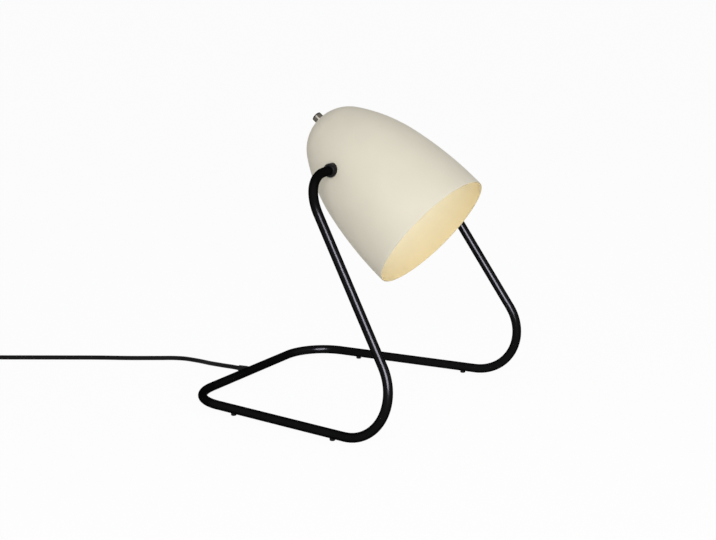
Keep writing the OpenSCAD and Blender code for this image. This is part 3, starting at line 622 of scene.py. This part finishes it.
def dress(obj, material):
    """Gives an object this one material."""
    obj.data.materials.clear()
    obj.data.materials.append(material)


for name, node in nodes.items():
    slots = [m.name.split(".")[0] for m in node.data.materials if m]
    if name.startswith("foot_") or name == "strain_relief":
        dress(node, rubber)
    else:
        dress(node, finishes[slots[0]])
dress(nodes["push_button"], button_metal)
dress(nodes["switch_ring_nut"], ring_metal)
nodes["shade"].data.materials.append(inside_paint_glow)
for face in nodes["shade"].data.polygons:
    out = face.center - PIVOT
    out -= SHADE_AXIS * out.dot(SHADE_AXIS)
    face.material_index = 1 if face.normal.dot(out.normalized()) < INWARD else 0
dress(flex, finishes["soft_black"])
dress(strap, webbing)
dress(spring, finishes["nickel"])

# Floor, light and surroundings
FLOOR_HALF = 20.0
FLOOR_COLOUR = (0.86, 0.86, 0.86)
FLOOR_WHITE = 0.95
SKY_COLOUR = (0.97, 0.98, 1.0)
SKY_STRENGTH = 0.44
SKY_WHITE = 0.955
LOOK_AT = Vector((0, -0.02, 0.2))


def emission_mix(tree, lit, output, white_share):
    """Shows a share of plain white to what sees the surface directly, in gloss or through glass."""
    n = tree.nodes
    link = tree.links.new
    path = n.new("ShaderNodeLightPath")
    seen = path.outputs["Is Camera Ray"]
    for kind in ("Is Glossy Ray", "Is Transmission Ray"):
        either = n.new("ShaderNodeMath")
        either.operation = "ADD"
        either.use_clamp = True
        link(seen, either.inputs[0])
        link(path.outputs[kind], either.inputs[1])
        seen = either.outputs[0]
    share = n.new("ShaderNodeMath")
    share.operation = "MULTIPLY"
    share.inputs[1].default_value = white_share
    white = n.new("ShaderNodeEmission")
    white.inputs["Strength"].default_value = 1.0
    mix = n.new("ShaderNodeMixShader")
    link(seen, share.inputs[0])
    link(share.outputs[0], mix.inputs["Fac"])
    link(lit, mix.inputs[1])
    link(white.outputs[0], mix.inputs[2])
    link(mix.outputs[0], output)


floor_mesh = bpy.data.meshes.new("floor")
floor_mesh.from_pydata(
    [(-FLOOR_HALF, -FLOOR_HALF, 0), (FLOOR_HALF, -FLOOR_HALF, 0), (FLOOR_HALF, FLOOR_HALF, 0),
     (-FLOOR_HALF, FLOOR_HALF, 0)], [], [(0, 1, 2, 3)])
floor = bpy.data.objects.new("floor", floor_mesh)
scene.collection.objects.link(floor)
floor_look = bpy.data.materials.new("floor_look")
floor_look.use_nodes = True
floor_tree = floor_look.node_tree
floor_tree.nodes.remove(floor_tree.nodes["Principled BSDF"])
floor_matt = floor_tree.nodes.new("ShaderNodeBsdfDiffuse")
floor_matt.inputs["Color"].default_value = (*FLOOR_COLOUR, 1)
floor_end = floor_tree.nodes["Material Output"].inputs["Surface"]
emission_mix(floor_tree, floor_matt.outputs[0], floor_end, FLOOR_WHITE)
floor.data.materials.append(floor_look)

world = bpy.data.worlds.new("studio")
scene.world = world
world.use_nodes = True
sky = world.node_tree.nodes["Background"]
sky.inputs["Color"].default_value = (*SKY_COLOUR, 1)
sky.inputs["Strength"].default_value = SKY_STRENGTH
sky_end = world.node_tree.nodes["World Output"].inputs["Surface"]
emission_mix(world.node_tree, sky.outputs[0], sky_end, SKY_WHITE)


def softbox(name, direction, distance, width, height, power):
    """A rectangular lamp that looks at the middle of the object from a direction."""
    data = bpy.data.lights.new(name, "AREA")
    data.shape = "RECTANGLE"
    data.size = width
    data.size_y = height
    data.energy = power
    lamp = bpy.data.objects.new(name, data)
    way = Vector(direction).normalized()
    turn = way.to_track_quat("Z", "Y").to_matrix().to_4x4()
    lamp.matrix_world = Matrix.Translation(LOOK_AT + way * distance) @ turn
    scene.collection.objects.link(lamp)
    return lamp


def gloss_only(lamp, *names):
    """Lets a lamp show in the gloss of the named nodes, and light nothing."""
    lamp.visible_diffuse = False
    lit = bpy.data.collections.new(lamp.name + "_shows_in")
    for name in names:
        lit.objects.link(nodes[name])
    lamp.light_linking.receiver_collection = lit


# Three soft lamps light the whole object. Two more show only in gloss: one is the streak on the button
# and its ring nut, the other the line along the tube
softbox("key", (-0.80, -0.43, 0.42), distance=1.9, width=0.7, height=0.5, power=12.3)
softbox("camera_fill", (-0.80, -0.58, 0.12), distance=2.2, width=1.2, height=1.2, power=14.6)
softbox("front_fill", (0.25, -0.95, 0.35), distance=2.2, width=1.6, height=1.2, power=6.5)
streak_light = softbox("streak_light", (-0.83, 0.0, 0.56), distance=1.9, width=1.3, height=0.8, power=15)
gloss_only(streak_light, "push_button", "switch_ring_nut")
line_light = softbox("line_light", (-0.716, -0.559, 0.30), distance=1.9, width=1.0, height=1.5, power=620)
line_light.data.color = (0.88, 0.87, 1.0)
gloss_only(line_light, "frame_tube")
